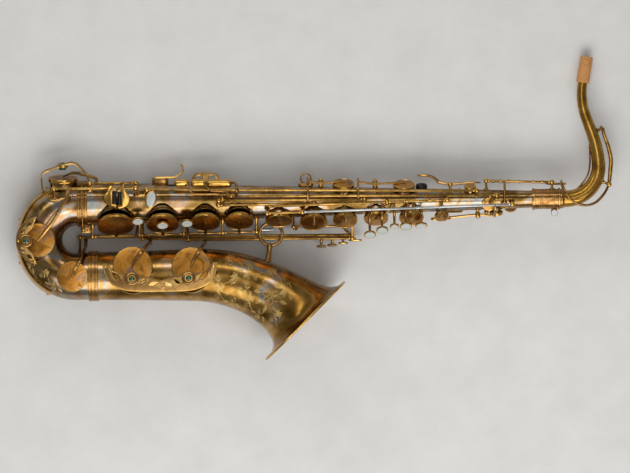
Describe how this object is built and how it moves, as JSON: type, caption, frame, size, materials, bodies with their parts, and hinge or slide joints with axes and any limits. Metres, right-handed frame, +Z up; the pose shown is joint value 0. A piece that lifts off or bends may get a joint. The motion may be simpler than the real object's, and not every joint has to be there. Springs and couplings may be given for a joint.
{
  "type": "saxophone",
  "caption": "Tenor saxophone in aged brass: conical body, bow and flared bell, curved neck with cork, and an open keywork of hinged pad cups, levers, rollers and finger pearls.",
  "frame": {"origin": "middle of the underside of the box of the horn as it lies on its left side", "axes": "+X up the body tube towards the neck, +Y towards the player, +Z up, out of the right side of the horn"},
  "size_m": [0.8708, 0.4308, 0.1629],
  "materials": {
    "aged_brass": "aged, unlacquered",
    "key_brass": "worn satin",
    "steel": "polished",
    "cork": "cork, matt",
    "pearl": "mother-of-pearl, polished",
    "black_plastic": "satin"
  },
  "bodies": {
    "horn": {"body_tube": "aged_brass", "bow": "aged_brass", "bell": "aged_brass", "body_bow_ferrule": "key_brass", "bow_bell_ferrule": "key_brass", "low_c_guard": "key_brass", "bell_key_guard": "key_brass", "low_eb_guard": "key_brass", "bow_guard": "key_brass", "bell_brace": "key_brass", "strap_ring": "key_brass", "thumb_hook": "key_brass", "thumb_rest": "black_plastic", "neck_receiver": "key_brass"},
    "d_key": {"d_key": "key_brass", "d_pearl": "pearl"},
    "e_key": {"e_key": "key_brass", "e_pearl": "pearl"},
    "f_key": {"f_key": "key_brass", "f_pearl": "pearl"},
    "fsharp_key": {"fsharp_key": "key_brass"},
    "g_key": {"g_key": "steel", "g_pearl": "pearl"},
    "a_key": {"a_key": "key_brass", "a_pearl": "pearl"},
    "bis_key": {"bis_key": "key_brass", "bis_pearl": "pearl"},
    "b_key": {"b_key": "key_brass", "b_pearl": "pearl"},
    "c_key": {"c_key": "key_brass"},
    "gsharp_key": {"gsharp_key": "key_brass"},
    "front_f_key": {"front_f_key": "key_brass", "front_f_pearl": "pearl"},
    "high_f_key": {"high_f_key": "key_brass"},
    "palm_eb_key": {"palm_eb_key": "key_brass"},
    "palm_d_key": {"palm_d_key": "key_brass"},
    "side_bb_key": {"side_bb_key": "key_brass"},
    "side_c_key": {"side_c_key": "key_brass"},
    "side_bb_lever": {"side_bb_lever": "key_brass"},
    "side_c_lever": {"side_c_lever": "key_brass"},
    "high_e_key": {"high_e_key": "key_brass"},
    "high_fsharp_key": {"high_fsharp_key": "key_brass", "high_fsharp_pearl": "pearl"},
    "octave_lever": {"octave_lever": "key_brass"},
    "octave_arm": {"octave_arm": "key_brass"},
    "low_bb_key": {"low_bb_key": "key_brass"},
    "low_b_key": {"low_b_key": "key_brass"},
    "low_csharp_key": {"low_csharp_key": "key_brass"},
    "low_c_key": {"low_c_key": "key_brass"},
    "low_eb_key": {"low_eb_key": "key_brass"},
    "gsharp_lever": {"gsharp_lever": "key_brass"},
    "neck_octave_key": {"neck_octave_key": "key_brass"},
    "neck": {"neck_tube": "aged_brass", "neck_cork": "cork"},
    "neck_screw": {"neck_screw": "steel"},
    "low_c_roller": {"low_c_roller": "black_plastic"},
    "low_eb_roller": {"low_eb_roller": "black_plastic"}
  },
  "joints": [
    {"name": "neck_swivel", "type": "hinge", "parent": "horn", "child": "neck", "pos_m": [0.35749, 0.01215, 0.05552], "axis": [0.9995, 0, 0.0307], "range_deg": [-15, 15]},
    {"name": "neck_screw_turn", "type": "hinge", "parent": "horn", "child": "neck_screw", "pos_m": [0.34835, -0.00803, 0.05987], "axis": [-0.03, 0.2235, 0.9742], "continuous": true},
    {"name": "d_key_hinge", "type": "hinge", "parent": "horn", "child": "d_key", "pos_m": [-0.32239, -0.03493, 0.04493], "axis": [0.9998, 0.0167, 0.0069], "range_deg": [-9, 0], "stiffness_Nm_per_rad": 0.15, "springref_deg": 20.05},
    {"name": "e_key_hinge", "type": "hinge", "parent": "horn", "child": "e_key", "pos_m": [-0.2544, -0.03379, 0.04539], "axis": [0.9998, 0.0167, 0.0069], "range_deg": [-9, 0], "stiffness_Nm_per_rad": 0.15, "springref_deg": 20.05},
    {"name": "f_key_hinge", "type": "hinge", "parent": "horn", "child": "f_key", "pos_m": [-0.18991, -0.03271, 0.04584], "axis": [0.9998, 0.0167, 0.0069], "range_deg": [-9, 0], "stiffness_Nm_per_rad": 0.15, "springref_deg": 20.05},
    {"name": "fsharp_key_hinge", "type": "hinge", "parent": "horn", "child": "fsharp_key", "pos_m": [-0.13342, -0.03176, 0.04623], "axis": [0.9998, 0.0167, 0.0069], "range_deg": [-9, 0], "stiffness_Nm_per_rad": 0.15, "springref_deg": 20.05},
    {"name": "g_key_hinge", "type": "hinge", "parent": "horn", "child": "g_key", "pos_m": [-0.01559, 0.00603, 0.08686], "axis": [0.9997, 0.023, 0.0128], "range_deg": [0, 9], "stiffness_Nm_per_rad": 0.15, "springref_deg": -20.05},
    {"name": "a_key_hinge", "type": "hinge", "parent": "horn", "child": "a_key", "pos_m": [-0.06669, 0.01354, 0.07944], "axis": [0.9997, 0.023, 0.0128], "range_deg": [0, 9], "stiffness_Nm_per_rad": 0.15, "springref_deg": -20.05},
    {"name": "bis_key_hinge", "type": "hinge", "parent": "horn", "child": "bis_key", "pos_m": [0.10725, 0.01753, 0.08167], "axis": [0.9997, 0.023, 0.0128], "range_deg": [0, 6], "stiffness_Nm_per_rad": 0.1, "springref_deg": -20.05},
    {"name": "b_key_hinge", "type": "hinge", "parent": "horn", "child": "b_key", "pos_m": [0.13161, 0.01809, 0.08199], "axis": [0.9997, 0.023, 0.0128], "range_deg": [0, 9], "stiffness_Nm_per_rad": 0.1, "springref_deg": -20.05},
    {"name": "c_key_hinge", "type": "hinge", "parent": "horn", "child": "c_key", "pos_m": [0.1666, 0.0189, 0.08244], "axis": [0.9997, 0.023, 0.0128], "range_deg": [0, 9], "stiffness_Nm_per_rad": 0.1, "springref_deg": -20.05},
    {"name": "gsharp_key_hinge", "type": "hinge", "parent": "horn", "child": "gsharp_key", "pos_m": [-0.06658, 0.00486, 0.08621], "axis": [0.9997, 0.023, 0.0128], "range_deg": [-9, 0], "stiffness_Nm_per_rad": 0.1, "springref_deg": 20.05},
    {"name": "front_f_key_hinge", "type": "hinge", "parent": "horn", "child": "front_f_key", "pos_m": [0.14872, 0.00981, 0.08897], "axis": [0.9997, 0.023, 0.0128], "range_deg": [0, 4], "stiffness_Nm_per_rad": 0.1, "springref_deg": -20.05},
    {"name": "high_f_key_hinge", "type": "hinge", "parent": "horn", "child": "high_f_key", "pos_m": [0.23755, -0.01063, 0.0514], "axis": [-0.0307, -0.0189, 0.9993], "range_deg": [-6, 0], "stiffness_Nm_per_rad": 0.1, "springref_deg": 20.05},
    {"name": "palm_eb_key_hinge", "type": "hinge", "parent": "horn", "child": "palm_eb_key", "pos_m": [0.25102, -0.0031, 0.03583], "axis": [-0.0209, -0.7323, 0.6806], "range_deg": [-6, 0], "stiffness_Nm_per_rad": 0.1, "springref_deg": 20.05},
    {"name": "palm_d_key_hinge", "type": "hinge", "parent": "horn", "child": "palm_d_key", "pos_m": [0.21228, 0.0126, 0.02751], "axis": [0.0006, -0.9998, -0.0189], "range_deg": [-6, 0], "stiffness_Nm_per_rad": 0.1, "springref_deg": 20.05},
    {"name": "side_bb_key_hinge", "type": "hinge", "parent": "horn", "child": "side_bb_key", "pos_m": [0.00955, 0.04092, 0.05098], "axis": [0.0301, 0.2093, -0.9774], "range_deg": [-6, 0], "stiffness_Nm_per_rad": 0.1, "springref_deg": 20.05},
    {"name": "side_c_key_hinge", "type": "hinge", "parent": "horn", "child": "side_c_key", "pos_m": [0.08849, 0.03867, 0.05293], "axis": [0.0301, 0.2093, -0.9774], "range_deg": [-6, 0], "stiffness_Nm_per_rad": 0.1, "springref_deg": 20.05},
    {"name": "side_bb_lever_hinge", "type": "hinge", "parent": "horn", "child": "side_bb_lever", "pos_m": [-0.13516, 0.01562, 0.07382], "axis": [1, -0.003, 0.0018], "range_deg": [-4, 0], "stiffness_Nm_per_rad": 0.1, "springref_deg": 20.05},
    {"name": "side_c_lever_hinge", "type": "hinge", "parent": "horn", "child": "side_c_lever", "pos_m": [-0.13512, 0.02193, 0.07255], "axis": [1, -0.0085, 0.0029], "range_deg": [-4, 0], "stiffness_Nm_per_rad": 0.1, "springref_deg": 20.05},
    {"name": "high_e_key_hinge", "type": "hinge", "parent": "horn", "child": "high_e_key", "pos_m": [-0.12505, 0.02814, 0.07219], "axis": [0.9999, -0.0132, 0.0048], "range_deg": [-8, 0], "stiffness_Nm_per_rad": 0.15, "springref_deg": 20.05},
    {"name": "high_fsharp_key_hinge", "type": "hinge", "parent": "horn", "child": "high_fsharp_key", "pos_m": [-0.24287, 0.03927, 0.06949], "axis": [0.9998, -0.0187, 0.0084], "range_deg": [0, 8], "stiffness_Nm_per_rad": 0.15, "springref_deg": -20.05},
    {"name": "octave_lever_hinge", "type": "hinge", "parent": "horn", "child": "octave_lever", "pos_m": [0.1977, 0.03451, 0.04548], "axis": [0.03, -0.2235, -0.9742], "range_deg": [-6, 0], "stiffness_Nm_per_rad": 0.1, "springref_deg": 20.05},
    {"name": "octave_arm_hinge", "type": "hinge", "parent": "horn", "child": "octave_arm", "pos_m": [0.25034, 0.03848, 0.04618], "axis": [0.9989, -0.0284, 0.0372], "range_deg": [-8, 0], "stiffness_Nm_per_rad": 0.1, "springref_deg": 20.05},
    {"name": "low_bb_key_hinge", "type": "hinge", "parent": "horn", "child": "low_bb_key", "pos_m": [-0.18415, -0.04406, 0.03534], "axis": [0.9995, 0, 0.0307], "range_deg": [0, 11], "stiffness_Nm_per_rad": 0.2, "springref_deg": -20.05},
    {"name": "low_b_key_hinge", "type": "hinge", "parent": "horn", "child": "low_b_key", "pos_m": [-0.24985, -0.04401, 0.02458], "axis": [0.9995, 0, 0.0307], "range_deg": [0, 11], "stiffness_Nm_per_rad": 0.2, "springref_deg": -20.05},
    {"name": "low_csharp_key_hinge", "type": "hinge", "parent": "horn", "child": "low_csharp_key", "pos_m": [-0.34113, -0.04299, 0.01282], "axis": [0.9995, 0, 0.0307], "range_deg": [-10, 0], "stiffness_Nm_per_rad": 0.2, "springref_deg": 20.05},
    {"name": "low_c_key_hinge", "type": "hinge", "parent": "horn", "child": "low_c_key", "pos_m": [-0.37728, 0.04298, 0.06896], "axis": [0.9995, 0, 0.0307], "range_deg": [0, 9], "stiffness_Nm_per_rad": 0.2, "springref_deg": -20.05},
    {"name": "low_eb_key_hinge", "type": "hinge", "parent": "horn", "child": "low_eb_key", "pos_m": [-0.32504, 0.04873, 0.06207], "axis": [0.9995, 0, 0.0307], "range_deg": [0, 8], "stiffness_Nm_per_rad": 0.2, "springref_deg": -20.05},
    {"name": "gsharp_lever_hinge", "type": "hinge", "parent": "horn", "child": "gsharp_lever", "pos_m": [-0.02974, -0.0292, 0.02436], "axis": [0.9995, 0, 0.0307], "range_deg": [0, 8], "stiffness_Nm_per_rad": 0.1, "springref_deg": -20.05},
    {"name": "neck_octave_key_hinge", "type": "hinge", "parent": "neck", "child": "neck_octave_key", "pos_m": [0.42859, 0.03164, 0.05323], "axis": [-0.03, 0.2235, 0.9742], "range_deg": [-6, 0], "stiffness_Nm_per_rad": 0.1, "springref_deg": 20.05},
    {"name": "low_c_roller_spin", "type": "hinge", "parent": "low_c_key", "child": "low_c_roller", "pos_m": [-0.28968, 0.03214, 0.08357], "axis": [0.0115, 0.9277, -0.3731], "continuous": true},
    {"name": "low_eb_roller_spin", "type": "hinge", "parent": "low_eb_key", "child": "low_eb_roller", "pos_m": [-0.28263, 0.03041, 0.08194], "axis": [0.0069, 0.9747, -0.2234], "continuous": true}
  ],
  "couplings": [
    {"joint": "side_bb_key_hinge", "follows": "side_bb_lever_hinge", "ratio": 1.5},
    {"joint": "side_c_key_hinge", "follows": "side_c_lever_hinge", "ratio": 1.5},
    {"joint": "gsharp_key_hinge", "follows": "gsharp_lever_hinge", "ratio": -1},
    {"joint": "octave_arm_hinge", "follows": "octave_lever_hinge", "ratio": 1.3},
    {"joint": "neck_octave_key_hinge", "follows": "octave_lever_hinge", "ratio": 1},
    {"joint": "fsharp_key_hinge", "follows": "f_key_hinge", "ratio": 1}
  ]
}
